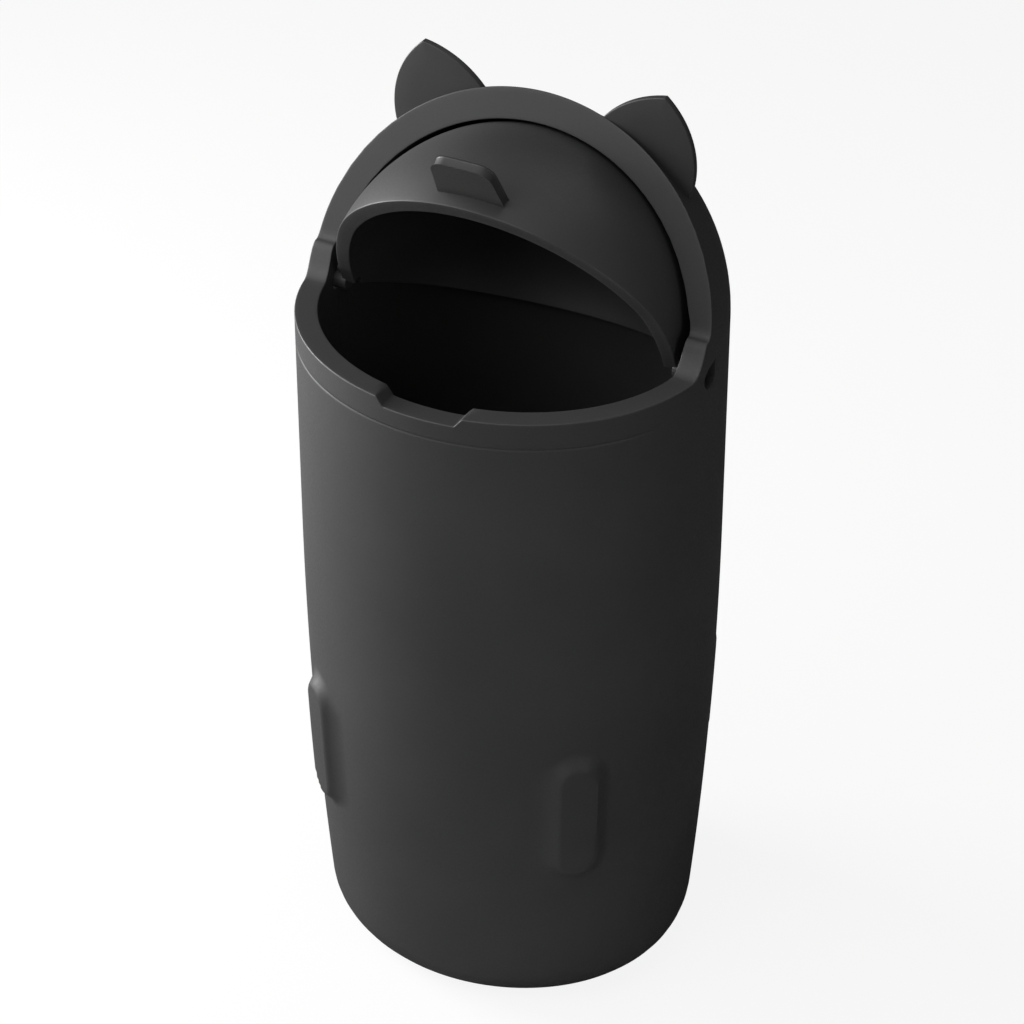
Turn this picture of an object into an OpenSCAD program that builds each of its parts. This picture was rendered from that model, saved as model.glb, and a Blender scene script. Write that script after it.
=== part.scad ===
// Car trash bin with two ears and a swing lid.
// The front of the bin faces -Y, up is +Z, the base rests on z = 0 and the lid turns about a line along X.

/* [View] */
// Which node to draw

/* [Bin] */
// Width across the rim, from side to side
bin_w = 80; // [74:1:86]
// How much flatter the front half is than the round back half
front_flat = 4.4; // [2:0.2:5.4]
// Height of the front rim above the base
rim_h = 138; // [120:1:160]
// Wall and floor thickness
wall = 4.3; // [3.6:0.1:4.6]
// Height of the straight upper stretch below the rim
straight_h = 45; // [30:1:60]
// Radius of the long curve that draws the lower wall inwards
belly_r = 980; // [800:20:1400]
// Radius of the rounded bottom edge
foot_r = 10; // [8:0.5:14]

/* [Rim] */
// Width of the finger notch at the rim
notch_w = 17; // [15:0.5:22]
// How much narrower the notch is at its floor
notch_taper = 2.8; // [1:0.2:4]
// Depth of the finger notch
notch_d = 1.7; // [1:0.1:2.5]
// Height of the side shoulders above the rim
shoulder_h = 5.8; // [4.6:0.2:7]
// Distance from the axis line to the foot of the ramp
ramp_y = 4.6; // [4.4:0.2:7]
// Length of the ramp
ramp_l = 3.2; // [2:0.2:3.6]
// Radius of the fillet at the foot of the ramp
ramp_r = 3.5; // [1:0.1:4]
// Radius of the fillet between the ledge and the hood's face
ledge_r = 0.8; // [0.3:0.1:0.9]

/* [Hood] */
// Height of the centre of the dome above the rim
dome_z = 1.6; // [0:0.2:2]
// Distance of the hood's front face before the axis line, taken at rim height
face_y = 2.05; // [1:0.1:2.6]
// Lean of the hood's front face, in degrees from upright
face_lean = 21.2; // [15:0.2:28]
// Thickness of the hood at the back, at the height of the axis
hood_t = 2.6; // [2.2:0.1:2.8]
// Thickness of the hood at the sides
hood_side_t = 4; // [3.8:0.1:4.4]
// Clearance between the lid and the inside of the hood
hood_gap = 0.6; // [0.4:0.1:0.9]
// Side clearance between the lid's edge and the inside of the hood
hood_side_gap = 2.25; // [1.8:0.05:2.4]

/* [Ears] */
// Turn of each ear tip to the side, seen from the front
ear_turn = 29.5; // [24:0.5:34]
// Height of the ear tips above the round of the hood
ear_up = 8.7; // [7:0.1:12]
// Radius of the ear's edge nearer the middle
ear_in_r = 19.8; // [17:0.1:24]
// Radius of the ear's outer edge
ear_out_r = 17.7; // [16:0.1:22]
// Direction from the tip down to the centre of the inner edge
ear_in_turn = 81; // [76:1:86]
// Direction from the tip down to the centre of the outer edge
ear_out_turn = 131; // [126:1:136]
// Thickness of the ears
ear_t = 3.6; // [2.6:0.2:5]
// Distance of the ear's front face behind the axis line
ear_y = 12.6; // [11:0.2:16]

/* [Grip pads] */
// Width of a grip pad
pad_w = 12.6; // [8:0.2:16]
// Height of a grip pad
pad_h = 31; // [20:1:44]
// Height of the middle of the pads above the base
pad_z = 49; // [34:1:70]
// How far the pads stand proud of the wall
pad_t = 1.9; // [1:0.1:2.5]
// Turn of the pads away from straight front and back
pad_turn = 47; // [35:1:55]

/* [Pivot] */
// Depth of the lid's axis below the rim
axis_drop = 1.8; // [1.6:0.1:2.4]
// Radius of the hole for the pin
hole_r = 2.2; // [1.8:0.1:2.6]
// Distance of the teardrop's tip from the centre of the hole
hole_tip = 3.7; // [3:0.1:4.2]
// Angle between the two sides of the teardrop's tip
hole_tip_angle = 56; // [44:1:64]
// Lean of the tip of the teardrop hole towards the back
hole_lean = 40; // [0:1:50]
// Radial clearance between pin and hole
pin_gap = 0.05; // [0.02:0.01:0.1]
// How far the pin ends stay inside the outer wall
pin_inset = 2.2; // [1:0.1:2.4]

/* [Lid] */
// Thickness of the lid at the middle
lid_t = 2.9; // [2.2:0.1:3.6]
// Thickness of the lid at its sides
lid_side_t = 2.7; // [2.2:0.1:3.2]
// How far the lid's front edge lies above the axis when closed
edge_up = 1.1; // [0.6:0.1:1.4]
// Angle that the lid spans about the axis
lid_span = 145; // [125:1:150]
// Angle by which the lid is drawn open
lid_open = 60.7; // [4:0.1:95]
// Radius of the hub round each pin
hub_r = 3.2; // [2.8:0.1:3.4]
// Gap between the hub and the inside wall
hub_gap = 0.5; // [0.4:0.1:0.8]

/* [Finger tongue] */
// Width of the tongue at its root
tongue_w = 12.6; // [8:0.2:14]
// How much narrower the tongue is at its tip
tongue_taper = 1.2; // [0:0.2:3]
// How far the tongue stands out of the lid
tongue_l = 8.5; // [5:0.5:10]
// Thickness of the tongue
tongue_t = 1.9; // [1.5:0.1:2.6]
// Radius of the tongue's tip corners
tongue_corner = 2.6; // [1.5:0.1:4]
// Distance of the tongue from the lid's front edge
tongue_up = 2.4; // [1:0.1:4]

/* [Hidden] */
$fn = 96;
eps = 0.01;
over = 1;
far = 120;
big_sides = 360;
half_w = bin_w / 2;
front_d = half_w - front_flat;
inner_w = half_w - wall;
front_k = front_d / half_w;
inner_k = (front_d - wall) / inner_w;
belly_z = rim_h - straight_h;
belly_x = half_w - belly_r;
foot_x = belly_x + sqrt(pow(belly_r - foot_r, 2) - pow(belly_z - foot_r, 2));
axis_z = rim_h - axis_drop;
dome_h = rim_h + dome_z;
shoulder_z = rim_h + shoulder_h;
face_k = tan(face_lean);
cave_side = half_w - hood_side_t;
cave_off = half_w - hood_t - cave_side;
lid_side = cave_side - hood_side_gap;
lid_reach = half_w - hood_t - hood_gap;
lid_off = lid_reach - lid_side;
lid_in_side = lid_side - lid_side_t;
lid_in_off = lid_reach - lid_t - lid_in_side;
hub_x = inner_w - hub_gap;
pin_x = half_w - pin_inset;
pin_r = hole_r - pin_gap;
ear_far = half_w + ear_up;
pad_k = (front_d + pad_t) / (half_w + pad_t);

// Silhouette of the bin's right half: straight wall, long belly curve, round foot edge.
// The inner silhouette is the same shape, smaller by the wall thickness.
module half_profile(inset) {
    r_top = half_w - inset;
    r_belly = belly_r - inset;
    r_foot = foot_r - inset;
    lean = asin((belly_z - foot_r) / (belly_r - foot_r));
    join_z = belly_z - r_belly * sin(lean);
    translate([0, belly_z])
        square([r_top, straight_h]);
    intersection() {
        translate([belly_x, belly_z])
            circle(r = r_belly, $fn = big_sides);
        translate([0, join_z])
            square([r_top, belly_z - join_z + eps]);
    }
    intersection() {
        translate([foot_x, foot_r])
            circle(r = r_foot);
        translate([foot_x, inset])
            square([r_foot, join_z - inset]);
    }
    translate([0, inset])
        square([foot_x, join_z - inset]);
}

module half_bin(inset) {
    rotate_extrude(angle = 180)
        half_profile(inset);
}

// The whole oval bin shape: a round back half and a flatter front half.
module oval_bin(inset, k) {
    half_bin(inset);
    scale([1, k, 1])
        mirror([0, 1, 0])
            half_bin(inset);
}

// Upright half cylinder under a ball, which makes the outside of the hood.
module dome() {
    intersection() {
        union() {
            translate([0, 0, dome_h])
                sphere(r = half_w, $fn = big_sides);
            translate([0, 0, rim_h - eps])
                cylinder(r = half_w, h = dome_z + eps, $fn = big_sides);
        }
        translate([-far, 0, rim_h - eps])
            cube([2 * far, far, far]);
    }
}

// The two shoulders beside the mouth, as high as the ledge.
module shoulders() {
    intersection() {
        translate([0, 0, rim_h - eps])
            scale([1, front_k, 1])
                cylinder(r = half_w, h = shoulder_h + eps, $fn = big_sides);
        translate([-far, -ramp_y, rim_h - eps])
            cube([2 * far, ramp_y + eps, far]);
    }
}

// Everything that is cut away before the ramp, the ledge and the face of the hood.
module front_cut() {
    ledge_y = ramp_l - ramp_y;
    face_foot = shoulder_h * face_k - face_y;
    face_top = far * face_k - face_y;
    ramp_angle = atan2(shoulder_h, ramp_l);
    translate([-far, 0, rim_h])
        rotate([90, 0, 90])
            linear_extrude(height = 2 * far)
                difference() {
                    polygon([
                        [-far, 0],
                        [-ramp_y, 0],
                        [ledge_y, shoulder_h],
                        [face_foot, shoulder_h],
                        [face_top, far],
                        [-far, far]
                    ]);
                    fillet([-ramp_y, 0], ramp_angle, 180, ramp_r);
                    fillet([face_foot, shoulder_h], 90 - face_lean, 180, ledge_r);
                }
}

// Material that rounds an inner corner between two edges, given by their directions.
module fillet(at, from, to, r) {
    half = (to - from) / 2;
    reach = r / sin(half);
    leg = r / tan(half);
    middle = at + reach * [cos(from + half), sin(from + half)];
    difference() {
        polygon([
            at,
            at + leg * [cos(from), sin(from)],
            middle,
            at + leg * [cos(to), sin(to)]
        ]);
        translate(middle)
            circle(r = r);
    }
}

// A ring of revolution about the lid's axis, which fills the space that the lid turns in.
module turned(side, off, span) {
    translate([0, 0, axis_z])
        rotate([0, 90, 0])
            rotate([0, 0, 90])
                rotate_extrude(angle = span, $fn = big_sides)
                    intersection() {
                        union() {
                            translate([off, 0])
                                circle(r = side, $fn = big_sides);
                            translate([0, -side])
                                square([off, 2 * side]);
                        }
                        translate([0, -far])
                            square([far, 2 * far]);
                    }
}

// Pocket behind the mouth: round inside of the hood and the relief in the back wall.
module cave() {
    intersection() {
        turned(cave_side, cave_off, 360);
        translate([-far, 0, 0])
            cube([2 * far, far, rim_h + far]);
    }
}

// Leaf-shaped ear: where two round discs overlap.
module ear() {
    tip = ear_far * [sin(ear_turn), cos(ear_turn)];
    translate([0, ear_y + ear_t, dome_h])
        rotate([90, 0, 0])
            linear_extrude(height = ear_t)
                intersection() {
                    translate(tip + ear_in_r * [cos(ear_in_turn), -sin(ear_in_turn)])
                        circle(r = ear_in_r, $fn = big_sides);
                    translate(tip + ear_out_r * [cos(ear_out_turn), -sin(ear_out_turn)])
                        circle(r = ear_out_r, $fn = big_sides);
                }
}

// Upright pad with round ends that follows the curved wall.
module pad(turn) {
    intersection() {
        pad_skin();
        rotate([0, 0, turn])
            translate([0, -half_w / 2, pad_z])
                rotate([90, 0, 0])
                    linear_extrude(height = half_w)
                        union() {
                            square([pad_w, pad_h - pad_w], center = true);
                            translate([0, (pad_h - pad_w) / 2])
                                circle(d = pad_w);
                            translate([0, (pad_w - pad_h) / 2])
                                circle(d = pad_w);
                        }
    }
}

// The bin's outside grown by the height of the pads.
module pad_skin() {
    rotate_extrude(angle = 180)
        translate([pad_t, 0])
            half_profile(0);
    scale([1, pad_k, 1])
        mirror([0, 1, 0])
            rotate_extrude(angle = 180)
                translate([pad_t, 0])
                    half_profile(0);
}

// Teardrop hole through a side wall, seen along X.
module teardrop() {
    flank = hole_tip * tan(hole_tip_angle / 2);
    rotate([90, 0, 90])
        linear_extrude(height = half_w)
            union() {
                circle(r = hole_r);
                rotate(-hole_lean)
                    polygon([[-flank, 0], [flank, 0], [0, hole_tip]]);
            }
}

// Finger notch in the front rim, wider at the top than at its floor.
module notch() {
    translate([0, 0, rim_h])
        rotate([90, 0, 0])
            linear_extrude(height = far)
                polygon([
                    [-notch_w / 2, far],
                    [-notch_w / 2, 0],
                    [(notch_taper - notch_w) / 2, -notch_d],
                    [(notch_w - notch_taper) / 2, -notch_d],
                    [notch_w / 2, 0],
                    [notch_w / 2, far]
                ]);
}

module bin() {
    color([0.12, 0.12, 0.13])
        difference() {
            union() {
                oval_bin(0, front_k);
                shoulders();
                dome();
                for (s = [0, 1])
                    mirror([s, 0, 0])
                        ear();
                for (t = [pad_turn, -pad_turn, 180 - pad_turn, pad_turn - 180])
                    pad(t);
            }
            oval_bin(wall, inner_k);
            translate([0, 0, rim_h - eps])
                scale([1, inner_k, 1])
                    cylinder(r = inner_w, h = shoulder_h + over, $fn = big_sides);
            cave();
            front_cut();
            notch();
            for (s = [0, 1])
                mirror([s, 0, 0])
                    translate([half_w / 2, 0, axis_z])
                        teardrop();
        }
}

// Flat tongue with two round corners, standing out of the lid.
module tongue() {
    root = lid_reach - lid_t / 2;
    tip = lid_reach + tongue_l;
    tip_w = tongue_w - tongue_taper;
    linear_extrude(height = tongue_t)
        difference() {
            polygon([
                [-tongue_w / 2, -root],
                [tongue_w / 2, -root],
                [tip_w / 2, -tip],
                [-tip_w / 2, -tip]
            ]);
            for (s = [-1, 1])
                translate([s * (tip_w / 2 - tongue_corner), tongue_corner - tip])
                    difference() {
                        translate([s * tongue_corner - tongue_corner, -2 * tongue_corner])
                            square(2 * tongue_corner);
                        circle(r = tongue_corner);
                    }
        }
}

module lid_shell() {
    difference() {
        turned(lid_side, lid_off, 360);
        turned(lid_in_side, lid_in_off, 360);
        // rear end, a flat cut through the axis
        translate([0, 0, axis_z])
            rotate([-lid_span, 0, 0])
                translate([-far, -far, 0])
                    cube([2 * far, far, far]);
    }
}

// Hub and pin on the right-hand side, on the lid's axis.
module pivot() {
    translate([0, 0, axis_z])
        rotate([0, 90, 0]) {
            translate([0, 0, lid_in_side])
                cylinder(r = hub_r, h = hub_x - lid_in_side);
            translate([0, 0, lid_in_side])
                cylinder(r = pin_r, h = pin_x - lid_in_side);
        }
}

// The lid as it lies closed, with its front edge level.
module lid_closed() {
    intersection() {
        lid_shell();
        translate([-far, -far, axis_z + edge_up])
            cube([2 * far, 2 * far, far]);
    }
    for (s = [0, 1])
        mirror([s, 0, 0])
            pivot();
    translate([0, 0, axis_z + edge_up + tongue_up])
        tongue();
}

module lid() {
    color([0.14, 0.14, 0.15])
        translate([0, 0, axis_z])
            rotate([-lid_open, 0, 0])
                translate([0, 0, -axis_z])
                    lid_closed();
}

bin();
lid();
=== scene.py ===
# Car trash bin with ears and a swing lid, two mouldings in matt black plastic.
# Shapes are worked out in millimetres in the CAD frame: front is -Y, the base is z = 0.
import math
import bmesh
import bpy
import numpy as np
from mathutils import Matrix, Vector


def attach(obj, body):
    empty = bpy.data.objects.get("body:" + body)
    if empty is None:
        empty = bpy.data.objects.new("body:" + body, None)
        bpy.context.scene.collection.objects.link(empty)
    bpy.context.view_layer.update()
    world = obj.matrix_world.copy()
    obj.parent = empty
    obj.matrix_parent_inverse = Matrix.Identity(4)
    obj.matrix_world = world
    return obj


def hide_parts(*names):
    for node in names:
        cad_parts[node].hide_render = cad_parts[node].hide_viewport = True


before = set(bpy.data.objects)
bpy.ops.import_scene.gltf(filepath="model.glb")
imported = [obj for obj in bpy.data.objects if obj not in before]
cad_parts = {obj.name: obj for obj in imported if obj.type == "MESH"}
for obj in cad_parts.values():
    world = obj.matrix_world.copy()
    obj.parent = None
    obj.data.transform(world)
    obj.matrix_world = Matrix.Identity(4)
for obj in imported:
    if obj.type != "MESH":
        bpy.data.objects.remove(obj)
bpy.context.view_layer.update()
mm = 0.001
sharpDegrees = 38
print("frame loaded", sorted(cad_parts))


# 0 before -w, t after w and a parabola between: a bend with a rounded corner
def hinge(t, w):
    return np.where(t > w, t, np.where(t < -w, 0.0, (t + w) ** 2 / (4 * w)))


# runs from 0 to 1 with level ends: t squared times (3 - 2t)
def smooth(t):
    t = np.clip(t, 0, 1)
    return t * t * (3 - 2 * t)


# quads between neighbours of a grid of points, the last column joined to the first
def gridFaces(rows, cols):
    i, j = np.meshgrid(np.arange(rows - 1), np.arange(cols), indexing="ij")
    k = (j + 1) % cols
    quads = np.stack([i * cols + j, i * cols + k, (i + 1) * cols + k, (i + 1) * cols + j], -1)
    return quads.reshape(-1, 4).tolist()


# quads between neighbours of an open grid of points
def openFaces(rows, cols):
    i, j = np.meshgrid(np.arange(rows - 1), np.arange(cols - 1), indexing="ij")
    quads = np.stack([i * cols + j, i * cols + j + 1, (i + 1) * cols + j + 1, (i + 1) * cols + j], -1)
    return quads.reshape(-1, 4).tolist()


# triangles from one point to each side of a closed ring of points
def fanFaces(ring, pole, outward):
    a, b = np.asarray(ring), np.roll(ring, -1)
    first, second = (a, b) if outward else (b, a)
    return np.stack([np.full(len(a), pole), first, second], -1).tolist()


# a closed skin: rings of points one after the other, with a point in the middle of the first and the last
def closedSkin(rings, start, end):
    rows, cols = rings.shape[:2]
    count = rows * cols
    points = np.concatenate([rings.reshape(-1, 3), [start, end]])
    faces = gridFaces(rows, cols)
    faces += fanFaces(np.arange(cols), count, False)
    faces += fanFaces(np.arange(count - cols, count), count + 1, True)
    return points, faces


# a quadratic curve from one point to another that leans to the corner between them
def roundCorner(before, corner, after, steps=7):
    t = np.linspace(0, 1, steps)[:, None, None]
    return (1 - t) ** 2 * before + 2 * t * (1 - t) * corner + t ** 2 * after


# points turned about a line along X at a given height, by an angle in degrees
def turnAboutX(points, angle, height):
    c, s = math.cos(math.radians(angle)), math.sin(math.radians(angle))
    x, y, z = points[..., 0], points[..., 1], points[..., 2] - height
    return np.stack([x, c * y - s * z, s * y + c * z + height], -1)


# linear colour of an sRGB hex value
def toLinear(code):
    c = np.array([int(code[i:i + 2], 16) for i in (1, 3, 5)]) / 255
    c = np.where(c <= 0.04045, c / 12.92, ((c + 0.055) / 1.055) ** 2.4)
    return (*c.tolist(), 1.0)


# one node with its settings; links says what feeds each socket, values sets the others
def addNode(tree, kind, links=None, values=None, **settings):
    node = tree.nodes.new(kind)
    for key, value in settings.items():
        setattr(node, key, value)
    for socket, value in (values or {}).items():
        node.inputs[socket].default_value = value
    for socket, source in (links or {}).items():
        tree.links.new(source, node.inputs[socket])
    return node


# ABS with a soft-touch skin out of a spark-eroded mould: even and matt, with a fine pitted grain,
# faint clouds from the flow of the plastic, and lighter edges, partly handling wear and partly a painted highlight
def softTouchAbs(name, p):
    material = bpy.data.materials.new(name)
    material.use_nodes = True
    tree = material.node_tree
    tree.nodes.clear()
    place = addNode(tree, "ShaderNodeTexCoord").outputs["Object"]
    clouds = addNode(tree, "ShaderNodeTexNoise", {"Vector": place}, {"Scale": 1000 / p["cloudMm"], "Detail": 3.0})
    grain = addNode(tree, "ShaderNodeTexNoise", {"Vector": place}, {"Scale": 1000 / p["grainMm"], "Detail": 2.0})
    pits = addNode(tree, "ShaderNodeTexVoronoi", {"Vector": place}, {"Scale": 1000 / p["pitMm"]})
    # points marked by the edge attribute are mixed towards a lighter colour: partly handling wear, partly a painted
    # highlight along the rounded edges
    wearSheenAttribute = addNode(tree, "ShaderNodeAttribute", attribute_name="edge")
    wearSheenMask = addNode(tree, "ShaderNodeMath", {0: wearSheenAttribute.outputs["Fac"], 1: clouds.outputs[0]}, operation="MULTIPLY")
    shade = addNode(tree, "ShaderNodeValToRGB", {"Fac": clouds.outputs[0]})
    shade.color_ramp.elements[0].position = 0.3
    shade.color_ramp.elements[0].color = toLinear(p["dark"])
    shade.color_ramp.elements[1].position = 0.7
    shade.color_ramp.elements[1].color = toLinear(p["light"])
    colour = addNode(tree, "ShaderNodeMix", {0: wearSheenMask.outputs[0], 6: shade.outputs["Color"]},
                     {7: toLinear(p["wearSheen"])}, data_type="RGBA")
    rough = addNode(tree, "ShaderNodeMapRange", {"Value": grain.outputs[0]},
                    {"From Min": 0.3, "From Max": 0.7, "To Min": p["roughLow"], "To Max": p["roughHigh"]})
    polish = addNode(tree, "ShaderNodeMath", {0: wearSheenMask.outputs[0]}, {1: -p["polish"]}, operation="MULTIPLY")
    roughness = addNode(tree, "ShaderNodeMath", {0: rough.outputs[0], 1: polish.outputs[0]}, operation="ADD")
    height = addNode(tree, "ShaderNodeMath", {0: grain.outputs[0], 1: pits.outputs["Distance"]}, operation="ADD")
    bump = addNode(tree, "ShaderNodeBump", {"Height": height.outputs[0]},
                   {"Strength": p["bump"], "Distance": p["bumpMm"] * mm})
    skin = addNode(tree, "ShaderNodeBsdfPrincipled",
                   {"Base Color": colour.outputs[2], "Roughness": roughness.outputs[0], "Normal": bump.outputs[0]},
                   {"IOR": p["ior"], "Specular IOR Level": p["specular"]})
    addNode(tree, "ShaderNodeOutputMaterial", {"Surface": skin.outputs[0]})
    return material


# the lighter edge colour stands for handling wear and a painted edge highlight
binPlastic = softTouchAbs("softTouchAbsBin", dict(
    dark="#343434", light="#3a3a3a", wearSheen="#464646", cloudMm=35, grainMm=0.45, pitMm=0.7,
    roughLow=0.50, roughHigh=0.62, polish=0.15, bump=0.10, bumpMm=0.05, ior=1.5, specular=0.5))
lidPlastic = softTouchAbs("softTouchAbsLid", dict(
    dark="#353535", light="#3b3b3b", wearSheen="#464646", cloudMm=28, grainMm=0.45, pitMm=0.7,
    roughLow=0.48, roughHigh=0.60, polish=0.15, bump=0.10, bumpMm=0.05, ior=1.5, specular=0.5))
print("materials made")


# a mesh of points in millimetres, smooth but for edges sharper than sharpDegrees, on its body;
# edge says how much each point is lightened for handling wear and a painted edge highlight
def makePiece(name, points, faces, material, body, edge=None):
    mesh = bpy.data.meshes.new(name)
    mesh.from_pydata((np.asarray(points) * mm).tolist(), [], faces)
    mesh.validate()
    if edge is not None:
        values = mesh.attributes.new("edge", "FLOAT", "POINT")
        values.data.foreach_set("value", np.asarray(edge, dtype=np.float32))
    mesh.shade_smooth()
    mesh.set_sharp_from_angle(angle=math.radians(sharpDegrees))
    mesh.materials.append(material)
    piece = bpy.data.objects.new(name, mesh)
    bpy.context.scene.collection.objects.link(piece)
    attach(piece, body)
    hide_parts(body)
    return piece


cup = dict(
    halfW=40.0, frontD=35.6, wall=4.3, rim=138.0, straight=45.0, bellyR=980.0, footR=10.0,
    domeUp=1.6, axisDrop=1.8, caveSide=36.0, caveOff=1.4, caveFrom=5, caveBlend=5,
    notchHalf=8.5, notchFloorHalf=7.1, notchD=1.7, notchSoft=0.18,
    shoulder=5.8, rampY=4.6, rampL=3.2, rampFootSoft=1.5, rampTopSoft=0.7,
    faceY=2.05, faceLean=21.2, faceFootSoft=0.8, outerEdge=0.3, innerEdge=0.25,
    creaseDrop=5.3, creaseDeep=0.15, creaseHalf=0.22, creaseEnd=72.0, creaseFade=22,
    backFall=1.6, backLong=10.0, backFrom=20.0, backFull=32.0,
    padW=12.6, padH=31.0, padZ=49.0, padT=1.9, padSoft=2.9, padHollow=1.35, padRound=0.06,
    padAngles=(-43, -137, 43, 137),
    holeR=2.2, holeTip=3.7, holeTipAngle=72.0, holeLean=40.0, cutFrom=30.0, cutTo=44.0,
    zoneStart=126.0, fixedUp=8.0)
axisZ = cup["rim"] - cup["axisDrop"]
domeZ = cup["rim"] + cup["domeUp"]
wallEnd = cup["rim"] - cup["straight"]
innerW = cup["halfW"] - cup["wall"]
frontK = cup["frontD"] / cup["halfW"]
innerK = (cup["frontD"] - cup["wall"]) / innerW
lean = math.asin((wallEnd - cup["footR"]) / (cup["bellyR"] - cup["footR"]))
footX = cup["halfW"] - cup["bellyR"] + (cup["bellyR"] - cup["footR"]) * math.cos(lean)


# height of the top face over the rim: level, up the ramp, level, up the hood's leaning face, each bend a hinge;
# in front the notch is a dip between two pairs of hinges
def topHeight(x, y):
    ramp = cup["shoulder"] / cup["rampL"]
    faceTan = math.tan(math.radians(cup["faceLean"]))
    up = ramp * (hinge(y + cup["rampY"], cup["rampFootSoft"])
                 - hinge(y + cup["rampY"] - cup["rampL"], cup["rampTopSoft"]))
    up = up + hinge(y + cup["faceY"] - cup["shoulder"] * faceTan, cup["faceFootSoft"]) / faceTan
    flare = cup["notchD"] / (cup["notchHalf"] - cup["notchFloorHalf"])
    dip = flare * (hinge(np.abs(x) - cup["notchFloorHalf"], cup["notchSoft"])
                   - hinge(np.abs(x) - cup["notchHalf"], cup["notchSoft"])) - cup["notchD"]
    return up + np.where(y < -2 * cup["rampY"], dip, 0.0)


# outer radius at a height in the hood: a ball of the wall's own radius on top of the wall
def domeRadius(z):
    return np.sqrt(np.maximum(cup["halfW"] ** 2 - np.maximum(z - domeZ, 0) ** 2, 0))


# distance from the middle of the lid's axis to the hood's inside, which is a circle turned about the axis:
# distance squared = side squared + offset squared + 2 offset root(side squared - sideways squared)
def caveReach(sideways):
    side, off = cup["caveSide"], cup["caveOff"]
    r = np.full_like(sideways, side)
    for _ in range(12):
        r = np.sqrt(side ** 2 + off ** 2 + 2 * off * np.sqrt(np.maximum(side ** 2 - (r * sideways) ** 2, 0)))
    return r


# root of a rising function by halving, for all columns at once
def findRoot(rising, low, high):
    for _ in range(50):
        middle = (low + high) / 2
        over = rising(middle) > 0
        low, high = np.where(over, low, middle), np.where(over, middle, high)
    return (low + high) / 2


# columns per millimetre round the wall: everywhere, in front by the notch, on the notch's flanks,
# at the hood's feet, on the borders of the pads and across the pads, with where each one reaches in millimetres
columns = dict(
    plain=0.5, front=0.8, frontHalf=10, flank=5.0, flankX=7.8, flankHalf=1.2, feet=3.2, feetFrom=-7, feetTo=3.4,
    padBorder=1.6, padBorderAt=4.7, padBorderHalf=2.6, pad=0.5, padHalf=3)


# angles round the bin: the wanted columns per millimetre are added up round the wall, and equal steps are taken
def columnAngles():
    c = columns
    fine = np.radians(np.linspace(-90, 270, 14401))
    x, y = cup["halfW"] * np.cos(fine), cup["halfW"] * np.sin(fine)
    want = np.full_like(fine, c["plain"])
    want += np.where((y < 0) & (np.abs(x) < c["frontHalf"]), c["front"], 0)
    want += np.where((y < 0) & (np.abs(np.abs(x) - c["flankX"]) < c["flankHalf"]), c["flank"], 0)
    want += np.where((y > c["feetFrom"]) & (y < c["feetTo"]), c["feet"], 0)
    for angle in cup["padAngles"]:
        across = np.abs((fine - math.radians(angle) + math.pi) % (2 * math.pi) - math.pi) * cup["halfW"]
        want += (np.where(np.abs(across - c["padBorderAt"]) < c["padBorderHalf"], c["padBorder"], 0)
                 + np.where(across < c["padHalf"], c["pad"], 0))
    total = np.concatenate([[0], np.cumsum((want[1:] + want[:-1]) / 2 * np.diff(fine) * cup["halfW"])])
    count = int(round(total[-1]))
    return np.interp(np.arange(count) / count * total[-1], total, fine)


# how far the grip pads raise the wall: a long round-ended shape, full inside, down a soft hollow slope at its border
def padRise(x, y, z):
    up = np.zeros_like(x)
    for angle in cup["padAngles"]:
        dx, dy = math.cos(math.radians(angle)), math.sin(math.radians(angle))
        along = np.maximum(np.abs(z - cup["padZ"]) - (cup["padH"] - cup["padW"]) / 2, 0)
        inside = cup["padW"] / 2 - np.hypot(y * dx - x * dy, along)
        slope = np.clip(inside / cup["padSoft"], 0, 1) ** cup["padHollow"]
        rise = np.minimum(1 - hinge(1 - slope, cup["padRound"]), 1) * (slope > 0)
        up = np.maximum(up, np.where(x * dx + y * dy > 0, cup["padT"] * rise, 0))
    return up


phi = columnAngles()
cosP, sinP = np.cos(phi), np.sin(phi)
outK, inK = np.where(sinP < 0, frontK, 1.0), np.where(sinP < 0, innerK, 1.0)
behind = sinP > 1e-6


# rings with one radius and height each, round behind and flatter in front
def rings(radii, heights, k):
    r, z = np.asarray(radii, dtype=float)[:, None], np.asarray(heights, dtype=float)[:, None]
    return np.stack([r * cosP, r * k * sinP, z + 0 * cosP], -1)


# rounded foot from under the base to where the belly curve begins
def footArc(inset, steps):
    a = np.linspace(-math.pi / 2, -lean, steps)
    r = cup["footR"] - inset
    return footX + r * np.cos(a), cup["footR"] + r * np.sin(a)


# wall radius at a height: straight above, then the long belly curve
def wallRadius(inset, z):
    return cup["halfW"] - cup["bellyR"] + np.sqrt((cup["bellyR"] - inset) ** 2 - np.maximum(wallEnd - z, 0) ** 2)


# point of the outside at an arc length above the top zone's start: straight, then over the dome
def outerPoint(up):
    bend = np.maximum(up - (domeZ - cup["zoneStart"]), 0) / cup["halfW"]
    r = cup["halfW"] * np.cos(bend)
    z = np.where(bend > 0, domeZ + cup["halfW"] * np.sin(bend), cup["zoneStart"] + up)
    return np.stack([r * cosP, r * outK * sinP, z], -1)


# point of the hood's inside at an angle over the lid's axis; near the rim, where it is narrower than the mouth,
# it is widened to the mouth's radius
def cavePoint(angle):
    r = caveReach(np.cos(angle) * cosP)
    level, z = r * np.cos(angle), axisZ + r * np.sin(angle)
    level = level + np.maximum(innerW - level, 0) * (1 - smooth((z - cup["rim"] - cup["caveFrom"]) / cup["caveBlend"]))
    return np.stack([level * cosP, level * sinP, z], -1)


# how far a point lies above the top face's surface
def overTop(p):
    return p[:, 2] - cup["rim"] - topHeight(p[:, 0], p[:, 1])


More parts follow.
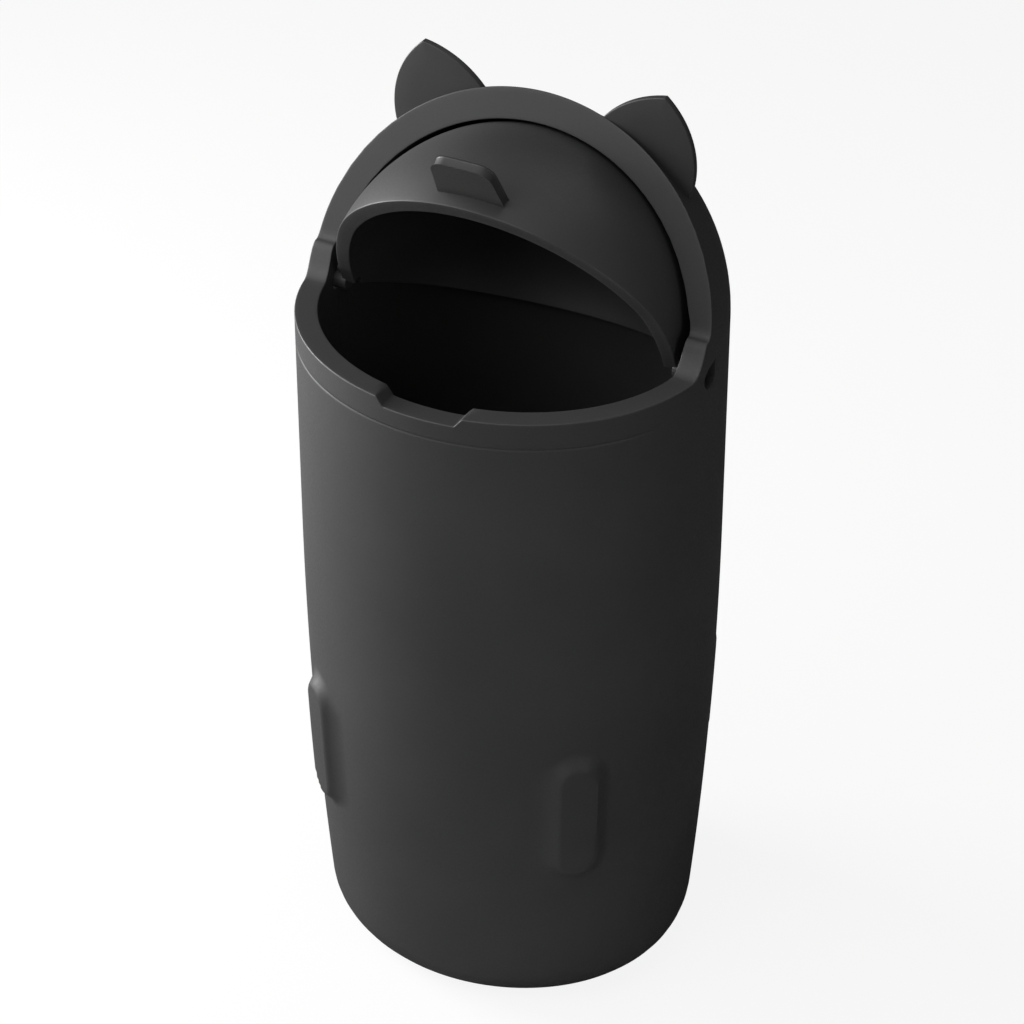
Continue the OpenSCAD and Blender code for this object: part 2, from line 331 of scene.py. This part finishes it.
# the outside, from under the base up to the edge of the top face
footOuter = footArc(0, 11)
wallZ = np.concatenate([np.linspace(footOuter[1][-1], 31.5, 8)[1:], np.linspace(32.1, 66.0, 56),
                        np.linspace(69, cup["zoneStart"], 13)])
rows = [rings(np.linspace(5, footX, 4)[:-1], [0, 0, 0], outK), rings(*footOuter, outK)]
rows.append(rings(wallRadius(0, wallZ), wallZ, outK))
edgeZ = findRoot(lambda z: overTop(np.stack([domeRadius(z) * cosP, domeRadius(z) * outK * sinP, z], -1)),
                 np.full_like(phi, cup["rim"] - 3), np.full_like(phi, domeZ + cup["halfW"]))
edgeUp = np.minimum(edgeZ, domeZ) - cup["zoneStart"]
edgeUp = edgeUp + cup["halfW"] * np.arcsin(np.clip((edgeZ - domeZ) / cup["halfW"], 0, 1))
creaseSteps = [1, 2.5, 4, 5.2, 6, 6.3, 6.42, 6.52, 6.6, 6.67, 6.73, 6.8, 6.88, 6.98, 7.1, 7.4, 8]
rows.append(np.stack([outerPoint(up + 0 * phi) for up in creaseSteps]))
lastUp = edgeUp - cup["outerEdge"]
spread = 1 - (1 - np.linspace(0, 1, 43)[1:-1]) ** 1.25
rows.append(np.stack([outerPoint(cup["fixedUp"] + t * (lastUp - cup["fixedUp"])) for t in spread]))
outerRows = sum(len(r) for r in rows)

# the inside's upper edge and the height where the round mouth takes over from the hood's inside
caveEdge = findRoot(lambda a: overTop(cavePoint(a)), np.full_like(phi, -0.1), np.full_like(phi, math.pi / 2))
mouth = np.stack([innerW * cosP, innerW * inK * sinP, 0 * phi], -1)
mouth[:, 2] = cup["rim"] + topHeight(mouth[:, 0], mouth[:, 1])
caveFoot = -np.arccos(np.clip(innerW / caveReach(cosP), 0, 1))
caveFootZ = axisZ + caveReach(np.cos(caveFoot) * cosP) * np.sin(caveFoot)
caveFootZ = np.where(behind, caveFootZ, caveFootZ[behind].max())


# point of the inside, t from 0 at the upper edge to 1 where the round mouth takes over
def insidePoint(t):
    plain = mouth.copy()
    plain[:, 2] += t * (caveFootZ - mouth[:, 2])
    return np.where(behind[:, None], cavePoint(caveEdge + t * (caveFoot - caveEdge)), plain)


outerCorner, innerCorner = outerPoint(edgeUp), insidePoint(0 * phi)
faceLong = np.linalg.norm(innerCorner - outerCorner, axis=1)


# point of the top face, t from 0 at its outer edge to 1 at its inner edge
def facePoint(t):
    p = outerCorner + np.asarray(t)[:, None] * (innerCorner - outerCorner)
    p[:, 2] = cup["rim"] + topHeight(p[:, 0], p[:, 1])
    return p


faceIn, faceOut = cup["outerEdge"] / faceLong, 1 - cup["innerEdge"] / faceLong
insideIn = cup["innerEdge"] / (np.linalg.norm(insidePoint(0 * phi + 0.02) - innerCorner, axis=1) / 0.02)
rows.append(roundCorner(outerPoint(lastUp), outerCorner, facePoint(faceIn)))
rows.append(np.stack([facePoint(faceIn + t * (faceOut - faceIn)) for t in np.linspace(0, 1, 7)[1:-1]]))
rows.append(roundCorner(facePoint(faceOut), innerCorner, insidePoint(insideIn)))
rows.append(np.stack([insidePoint(insideIn + t * (1 - insideIn)) for t in np.linspace(0, 1, 25)[1:]]))

# the inside wall, its foot and the floor
down = np.linspace(0, 1, 8)[1:, None, None]
low = rings([innerW], [wallEnd], inK)
rows.append(rows[-1][-1] + down * (low - rows[-1][-1]))
footInner = footArc(cup["wall"], 8)
innerZ = np.linspace(wallEnd, footInner[1][-1], 10)[1:-1]
rows.append(rings(wallRadius(cup["wall"], innerZ), innerZ, inK))
rows.append(rings(footInner[0][::-1], footInner[1][::-1], inK))
rows.append(rings([18, 10, 4], [cup["wall"]] * 3, inK))
skin = np.concatenate([r.reshape(-1, len(phi), 3) for r in rows])

# the pads stand out and the crease line goes in, both square to the wall
x, y, z = skin[:outerRows, :, 0], skin[:outerRows, :, 1], skin[:outerRows, :, 2]
fromFront = np.degrees(np.abs((phi + math.pi / 2 + math.pi) % (2 * math.pi) - math.pi))
groove = np.exp(-((z - cup["rim"] + cup["creaseDrop"]) / cup["creaseHalf"]) ** 2)
groove = groove * (1 - smooth((fromFront - cup["creaseEnd"] + cup["creaseFade"]) / cup["creaseFade"]))
out = padRise(x, y, z) - cup["creaseDeep"] * groove
square = np.hypot(x, y / outK ** 2)
skin[:outerRows, :, 0] += out * x / square
skin[:outerRows, :, 1] += out * y / outK ** 2 / square

# behind the upper part of its face the hood sinks under the ball: fall = depth times (1 - (1 - distance / length)^2)
leanBack = math.radians(cup["faceLean"])
behindFace = (y + cup["faceY"]) * math.cos(leanBack) - (z - cup["rim"]) * math.sin(leanBack)
fall = cup["backFall"] * (1 - (1 - np.clip(behindFace / cup["backLong"], 0, 1)) ** 2)
fall = fall * smooth((z - domeZ - cup["backFrom"]) / (cup["backFull"] - cup["backFrom"])) / cup["halfW"]
skin[:outerRows] -= fall[..., None] * (skin[:outerRows] - [0, 0, domeZ])
points, faces = closedSkin(skin, [0, 0, 0], [0, 0, cup["wall"]])

# the two corners of the top face are lightened for handling wear and a painted highlight, less from row to row away
# from the middle of each
outerMiddle, innerMiddle, fadeRows = outerRows + 3, outerRows + 15, 4
edge = np.zeros(skin.shape[:2])
rounded = outerRows + np.arange(-2, 21)
nearOuter = 1 - np.abs(rounded - outerMiddle) / fadeRows
nearInner = 1 - np.abs(rounded - innerMiddle) / fadeRows
edge[rounded] = np.clip(np.maximum(nearOuter, nearInner), 0, 1)[:, None]
binShell = makePiece("binShell", points, faces, binPlastic, "bin", np.append(edge.ravel(), [0, 0]))
print("bin skin", skin.shape, len(faces), "faces")


# a straight-sided cutter along X with the outline of the teardrop hole: a circle and the two sides of its tip;
# a side leaves the tip at half its angle and meets the circle at d = tip cos half - root(r squared - (tip sin half)^2)
def teardropCutter(side):
    r, tip = cup["holeR"], cup["holeTip"]
    half = math.radians(cup["holeTipAngle"] / 2)
    d = tip * math.cos(half) - math.sqrt(r ** 2 - (tip * math.sin(half)) ** 2)
    meet = math.atan2(d * math.sin(half), tip - d * math.cos(half))
    a = np.linspace(math.pi / 2 - meet, -1.5 * math.pi + meet, 60)
    ring = np.concatenate([[[0, tip]], np.stack([r * np.cos(a), r * np.sin(a)], -1)])
    c, s = math.cos(math.radians(cup["holeLean"])), math.sin(math.radians(cup["holeLean"]))
    y, z = ring[:, 0] * c + ring[:, 1] * s, axisZ - ring[:, 0] * s + ring[:, 1] * c
    sideways = np.array([cup["cutFrom"], cup["cutTo"]])[:, None] * side + 0 * y
    ends = np.stack([sideways, y + 0 * sideways, z + 0 * sideways], -1)
    points, faces = closedSkin(ends, ends[0].mean(0), ends[1].mean(0))
    mesh = bpy.data.meshes.new("cutter")
    mesh.from_pydata((points * mm).tolist(), [], faces)
    cutter = bpy.data.objects.new("cutter", mesh)
    bpy.context.scene.collection.objects.link(cutter)
    return cutter


# the two pivot holes are cut through the shoulders, then the cut mesh takes the place of the whole one
cutters = [teardropCutter(side) for side in (1, -1)]
for cutter in cutters:
    shell = bmesh.new()
    shell.from_mesh(cutter.data)
    bmesh.ops.recalc_face_normals(shell, faces=shell.faces)
    shell.to_mesh(cutter.data)
    shell.free()
    cut = binShell.modifiers.new("hole", "BOOLEAN")
    cut.operation = "DIFFERENCE"
    cut.solver = "EXACT"
    cut.object = cutter
whole = binShell.data
binShell.data = bpy.data.meshes.new_from_object(binShell.evaluated_get(bpy.context.evaluated_depsgraph_get()))
binShell.modifiers.clear()
bpy.data.meshes.remove(whole)
for cutter in cutters:
    bpy.data.objects.remove(cutter)
binShell.data.shade_smooth()
binShell.data.set_sharp_from_angle(angle=math.radians(sharpDegrees))
print("pivot holes cut", len(binShell.data.polygons), "faces")


# a plate cut to a closed outline of x and z, from one y to another, its edges rounded:
# rings go in from the outline by soft times (1 - sine) and back from the face by soft times (1 - cosine),
# and a half-size ring lies in each flat face
def plate(outline, front, back, soft, steps=6):
    ahead, before = np.roll(outline, -1, 0) - outline, outline - np.roll(outline, 1, 0)
    n1 = np.stack([ahead[:, 1], -ahead[:, 0]], -1) / np.linalg.norm(ahead, axis=1)[:, None]
    n2 = np.stack([before[:, 1], -before[:, 0]], -1) / np.linalg.norm(before, axis=1)[:, None]
    outward = (n1 + n2) / (1 + (n1 * n2).sum(1))[:, None]
    turn = np.linspace(0, math.pi / 2, steps)
    inset = np.concatenate([soft * (1 - np.sin(turn)), soft * (1 - np.sin(turn))[::-1]])
    depth = np.concatenate([front + soft * (1 - np.cos(turn)), back - soft * (1 - np.cos(turn))[::-1]])
    flat = outline[None] - inset[:, None, None] * outward
    layers = np.stack([flat[..., 0], depth[:, None] + 0 * flat[..., 0], flat[..., 1]], -1)
    centre = outline.mean(0)
    halfSize, halfWay = [0.5, 1, 0.5], [centre[0] / 2, 0, centre[1] / 2]
    layers = np.concatenate([layers[:1] * halfSize + halfWay, layers, layers[-1:] * halfSize + halfWay])
    points, faces = closedSkin(layers, [centre[0], front, centre[1]], [centre[0], back, centre[1]])
    # each rounded edge is lightened most at its middle: handling wear and a painted highlight
    wearSheenLevel = np.zeros(len(points))
    wearSheenLevel[len(outline):-2].reshape(-1, len(outline))[:-1] = np.sin(2 * np.append(turn, turn[::-1]))[:, None]
    return points, faces, wearSheenLevel


ear = dict(
    turn=29.5, up=8.7, inR=19.8, outR=17.7, inTurn=81.0, outTurn=131.0, thick=1.4, back=12.6, soft=0.2, sink=2.0,
    wearSheen=0.6)


# ear outline: two arcs that meet at the tip, closed by an arc sunk into the hood's wall
def earOutline():
    far, turn = cup["halfW"] + ear["up"], math.radians(ear["turn"])
    tip = np.array([far * math.sin(turn), domeZ + far * math.cos(turn)])
    middleY = ear["back"] + ear["thick"] / 2
    sunk = math.sqrt((cup["halfW"] - ear["sink"]) ** 2 - middleY ** 2)
    sides = []
    for r, start, sign in ((ear["inR"], ear["inTurn"], 1), (ear["outR"], ear["outTurn"], -1)):
        a = math.radians(start)
        centre = tip + r * np.array([math.cos(a), -math.sin(a)])
        t = math.pi - a + sign * np.linspace(0, 2.2, 2201)
        arc = centre + r * np.stack([np.cos(t), np.sin(t)], -1)
        inside = np.nonzero(np.hypot(arc[:, 0], arc[:, 1] - domeZ) < sunk)[0][0]
        sides.append(arc[np.linspace(0, inside, 46).astype(int)])
    inner, outer = sides
    a0 = math.atan2(inner[-1][1] - domeZ, inner[-1][0])
    a1 = math.atan2(outer[-1][1] - domeZ, outer[-1][0])
    a = np.linspace(a0, a1, 26)[1:-1]
    base = np.stack([sunk * np.cos(a), domeZ + sunk * np.sin(a)], -1)
    return np.concatenate([inner, base, outer[::-1][:-1]])


for name, side in (("earRight", 1), ("earLeft", -1)):
    outline = earOutline() * [side, 1]
    if side < 0:
        outline = outline[::-1]
    # the ears' rounded edges are lightened: handling wear and a painted highlight
    points, faces, wearSheenLevel = plate(outline, ear["back"], ear["back"] + ear["thick"], ear["soft"])
    makePiece(name, points, faces, binPlastic, "bin", wearSheenLevel * ear["wearSheen"])
print("ears made")


lid = dict(
    side=34.0, sideOff=2.8, inSide=31.37, inOff=2.3, edgeUp=0.9, dip=1.73, dipLong=14.5, dipSoft=1.5, endR=1.2,
    span=145.0, open=60.55, soft=0.2, pinStart=33.2, pinR=1.75, pinEnd=37.8, pinSoft=0.35, wearSheen=0.8,
    tongueW=12.6, tongueTaper=1.2, tongueL=8.5, tongueT=1.9, tongueCorner=2.6, tongueUp=2.73, tongueSoft=0.3,
    tongueSink=1.45)


# columns of one of the lid's skins, each with its place across the lid and its distance from the axis:
# a circle across the dome, x = side sin s and r = offset + side cos s, and at each end a few down the flat cheek
def lidColumns(side, off):
    s = np.linspace(-math.pi / 2, math.pi / 2, 181)
    down = np.linspace(lid["endR"], off, 4)[:-1]
    x = np.concatenate([0 * down - side, side * np.sin(s), 0 * down + side])
    return x, np.concatenate([down, off + side * np.cos(s), down[::-1]])


outX, outR = lidColumns(lid["side"], lid["sideOff"])
inX, inR = lidColumns(lid["inSide"], lid["inOff"])


# points of the lid's outer or inner skin, one for each column, at an angle over the level
def lidOuter(angle):
    return np.stack([outX, -outR * np.cos(angle), axisZ + outR * np.sin(angle)], -1)


def lidInner(angle):
    return np.stack([inX, -inR * np.cos(angle), axisZ + inR * np.sin(angle)], -1)


# angle of the lid's edge in each column, where height = edgeUp - slope times hinge(dipLong - distance forward):
# level in front, then down a slope towards the axis
def edgeAngle(r):
    slope = lid["dip"] / lid["dipLong"]

    def over(a):
        return r * np.sin(a) - lid["edgeUp"] + slope * hinge(lid["dipLong"] - r * np.cos(a), lid["dipSoft"])

    return findRoot(over, 0 * r - 1.2, 0 * r + 1.2)


# a share t of the way from one point to another
def mix(a, b, t):
    return a + t * (b - a)


outFront, inFront = edgeAngle(outR), edgeAngle(inR)
rear = math.radians(lid["span"])
backOut, backIn = lidOuter(rear + 0 * outR), lidInner(rear + 0 * inR)
frontOut, frontIn = lidOuter(outFront), lidInner(inFront)
softOut, softIn = lid["soft"] / outR, lid["soft"] / inR
thick = np.linalg.norm(backOut - backIn, axis=1)[:, None]
cutFrom = lid["soft"] / thick
u = np.linspace(0, 1, 81)[:, None]
flat = (0.35, 0.5, 0.65)
outAngles = (outFront + softOut) + u * (rear - softOut - outFront - softOut)
inAngles = (rear - softIn) + u * (inFront + softIn - rear + softIn)
loops = np.concatenate([
    np.stack([lidOuter(a) for a in outAngles]),
    roundCorner(lidOuter(rear - softOut), backOut, mix(backOut, backIn, cutFrom), 6)[1:],
    np.stack([mix(backOut, backIn, t) for t in flat]),
    roundCorner(mix(backIn, backOut, cutFrom), backIn, lidInner(rear - softIn), 6),
    np.stack([lidInner(a) for a in inAngles])[1:],
    roundCorner(lidInner(inFront + softIn), frontIn, mix(frontIn, frontOut, cutFrom), 6)[1:],
    np.stack([mix(frontIn, frontOut, t) for t in flat]),
    roundCorner(mix(frontOut, frontIn, cutFrom), frontOut, lidOuter(outFront + softOut), 6)[:-1]])
around = np.transpose(loops, (1, 0, 2))
startCap, endCap = around[0].mean(0), around[-1].mean(0)
points, faces = closedSkin(around[::-1], endCap, startCap)

# the four rounded corners of the lid's edge are lightened for handling wear and a painted highlight: counts of points
# along each part of a loop, up to the last
wearSheenLevel = np.zeros(around.shape[1])
partEnds = np.cumsum([81, 5, 3, 6, 80, 5, 3])
for first in partEnds[::2]:
    wearSheenLevel[first:first + 5] = lid["wearSheen"]
wearSheenLevel = np.append(np.tile(wearSheenLevel, len(around)), [0, 0])
points = turnAboutX(points, -lid["open"], axisZ)
makePiece("lidShell", points, faces, lidPlastic, "lid", wearSheenLevel)


# stub pin: a profile of distances along the axis and from it, turned about it, each corner a quadratic curve
def lathe(profile, side, soft, count=64):
    profile = np.asarray(profile, dtype=float)
    path = [profile[:1]]
    for before, corner, after in zip(profile[:-2], profile[1:-1], profile[2:]):
        a = corner + (before - corner) * min(0.45, soft / np.linalg.norm(before - corner))
        b = corner + (after - corner) * min(0.45, soft / np.linalg.norm(after - corner))
        t = np.linspace(0, 1, 6)[:, None]
        path.append((1 - t) ** 2 * a + 2 * t * (1 - t) * corner + t ** 2 * b)
    path = np.concatenate(path + [profile[-1:]])
    turn = np.linspace(0, 2 * math.pi, count, endpoint=False) * side
    x = path[1:-1, 0][:, None] * side + 0 * turn
    y, z = path[1:-1, 1][:, None] * np.cos(turn), axisZ + path[1:-1, 1][:, None] * np.sin(turn)
    layers = np.stack([x, y, z], -1)
    return closedSkin(layers, [path[0, 0] * side, 0, axisZ], [path[-1, 0] * side, 0, axisZ])


for name, side in (("pinRight", 1), ("pinLeft", -1)):
    points, faces = lathe([[lid["pinStart"], 0], [lid["pinStart"], lid["pinR"]], [lid["pinEnd"], lid["pinR"]],
                           [lid["pinEnd"], 0]], side, lid["pinSoft"])
    makePiece(name, turnAboutX(points, -lid["open"], axisZ), faces, lidPlastic, "lid")


# tongue outline: a root inside the lid, straight sides that close in a little, and two round corners at the tip
reach = lid["side"] + lid["sideOff"]
root, tip = reach - lid["tongueSink"], reach + lid["tongueL"]
r, half, tipHalf = lid["tongueCorner"], lid["tongueW"] / 2, (lid["tongueW"] - lid["tongueTaper"]) / 2
t = np.linspace(0, math.pi / 2, 16)
cornerX, cornerY = tipHalf - r + r * np.cos(t), tip - r + r * np.sin(t)
sideY = np.linspace(root, tip - r, 18)[:-1]
sideX = half + (tipHalf - half) * (sideY - root) / (tip - r - root)
right = np.stack([np.append(sideX, cornerX), np.append(sideY, cornerY)], -1)
rootX = np.linspace(-half, half, 14)[1:-1]
outline = np.concatenate([right, right[::-1] * [-1, 1], np.stack([rootX, 0 * rootX + root], -1)])
level = axisZ + lid["edgeUp"] + lid["tongueUp"]
# the tongue's rounded edges are lightened: handling wear and a painted highlight
points, faces, wearSheenLevel = plate(outline[::-1], 0, lid["tongueT"], lid["tongueSoft"])
points = np.stack([points[:, 0], -points[:, 2], level + points[:, 1]], -1)
makePiece("lidTongue", turnAboutX(points, -lid["open"], axisZ), faces, lidPlastic, "lid", wearSheenLevel)
print("lid made")


# 1 for rays from the camera, straight or through something clear: the larger of the two flags
def seenClearly(tree, ray):
    flags = {0: ray.outputs["Is Camera Ray"], 1: ray.outputs["Is Transmission Ray"]}
    return addNode(tree, "ShaderNodeMath", flags, operation="MAXIMUM").outputs[0]


# plain white ground: the camera sees it nearly white with the object's shadow, glossy rays see a trace of it,
# because the matt bin has no metal or glass to mirror it, and the soft light off it stays low
def addGround(p):
    steps = 9
    t = np.linspace(-p["half"], p["half"], steps)
    gx, gy = np.meshgrid(t, t)
    mesh = bpy.data.meshes.new("ground")
    mesh.from_pydata((np.stack([gx, gy, 0 * gx], -1).reshape(-1, 3) * mm).tolist(), [], openFaces(steps, steps))
    ground = bpy.data.objects.new("ground", mesh)
    bpy.context.scene.collection.objects.link(ground)
    material = bpy.data.materials.new("whitePaper")
    material.use_nodes = True
    tree = material.node_tree
    tree.nodes.clear()
    ray = addNode(tree, "ShaderNodeLightPath")
    clear = seenClearly(tree, ray)
    straight = addNode(tree, "ShaderNodeMath", {0: clear, 1: ray.outputs["Is Glossy Ray"]}, operation="MAXIMUM")
    seen = addNode(tree, "ShaderNodeMath", {0: ray.outputs["Is Glossy Ray"], 2: clear},
                   {1: p["glossySeen"]}, operation="MULTIPLY_ADD")
    glow = addNode(tree, "ShaderNodeEmission", {"Strength": seen.outputs[0]}, {"Color": (1, 1, 1, 1)})
    paper = addNode(tree, "ShaderNodeBsdfDiffuse", values={"Color": toLinear(p["paper"])})
    both = addNode(tree, "ShaderNodeMixShader", {1: glow.outputs[0], 2: paper.outputs[0]}, {0: p["shadow"]})
    pick = addNode(tree, "ShaderNodeMixShader", {0: straight.outputs[0], 1: paper.outputs[0], 2: both.outputs[0]})
    addNode(tree, "ShaderNodeOutputMaterial", {"Surface": pick.outputs[0]})
    mesh.materials.append(material)


addGround(dict(half=3000, paper="#f4f4f4", shadow=0.12, glossySeen=0.01))


lampAim = Vector((0, 0, 110))


# a square lamp at a place in millimetres, aimed at the bin's upper half
def addLamp(name, place, size, watts):
    data = bpy.data.lights.new(name, "AREA")
    data.shape = "SQUARE"
    data.size = size * mm
    data.energy = watts
    lamp = bpy.data.objects.new(name, data)
    lamp.location = Vector(place) * mm
    lamp.rotation_euler = (Vector(place) - lampAim).to_track_quat("Z", "Y").to_euler()
    bpy.context.scene.collection.objects.link(lamp)


addLamp("keyLeft", (-412, -36, 183), 200, 2.15)
addLamp("keyLeftTall", (-468, -170, 154), 400, 0.65)
addLamp("keyLeftHigh", (-343, -30, 351), 200, 0.41)
addLamp("frontLeft", (-299, -251, 335), 200, 0.2)
addLamp("frontLeftHigh", (-168, -361, 444), 250, 0.65)
addLamp("topSoft", (-30, -82, 602), 300, 0.3)
addLamp("topBack", (77, 211, 500), 250, 0.22)
addLamp("frontHigh", (52, -294, 536), 250, 0.25)
addLamp("frontLow", (52, -595, 162), 300, 0.15)
addLamp("rightLow", (454, -165, 239), 250, 0.28)

# the world: white where it is seen, nearly dark for all other rays
world = bpy.data.worlds.new("plainWhite")
bpy.context.scene.world = world
world.use_nodes = True
tree = world.node_tree
tree.nodes.clear()
ray = addNode(tree, "ShaderNodeLightPath")
near = addNode(tree, "ShaderNodeBackground", values={"Color": (1, 1, 1, 1), "Strength": 1.0})
soft = addNode(tree, "ShaderNodeBackground", values={"Color": (1, 1, 1, 1), "Strength": 0.01})
pick = addNode(tree, "ShaderNodeMixShader", {0: seenClearly(tree, ray), 1: soft.outputs[0], 2: near.outputs[0]})
addNode(tree, "ShaderNodeOutputWorld", {"Surface": pick.outputs[0]})

# the camera solved from the photo: turn round the object, height angle, distance, the point it looks at
eye = dict(turn=27.131, rise=34.500, distance=676.616, lens=126.53, lookZ=94.736, lookRight=0.482)
turn, rise = math.radians(eye["turn"]), math.radians(eye["rise"])
right = Vector((math.cos(turn), math.sin(turn), 0))
back = Vector((math.sin(turn) * math.cos(rise), -math.cos(turn) * math.cos(rise), math.sin(rise)))
target = Vector((0, 0, eye["lookZ"])) + right * eye["lookRight"]
camera = bpy.data.objects.new("camera", bpy.data.cameras.new("camera"))
camera.data.lens = eye["lens"]
camera.data.sensor_width = 36
camera.location = (target + back * eye["distance"]) * mm
camera.rotation_euler = back.to_track_quat("Z", "Y").to_euler()
camera.data.clip_start = 0.01
bpy.context.scene.collection.objects.link(camera)
bpy.context.scene.camera = camera
bpy.context.scene.view_settings.view_transform = "Standard"
print("stage set")
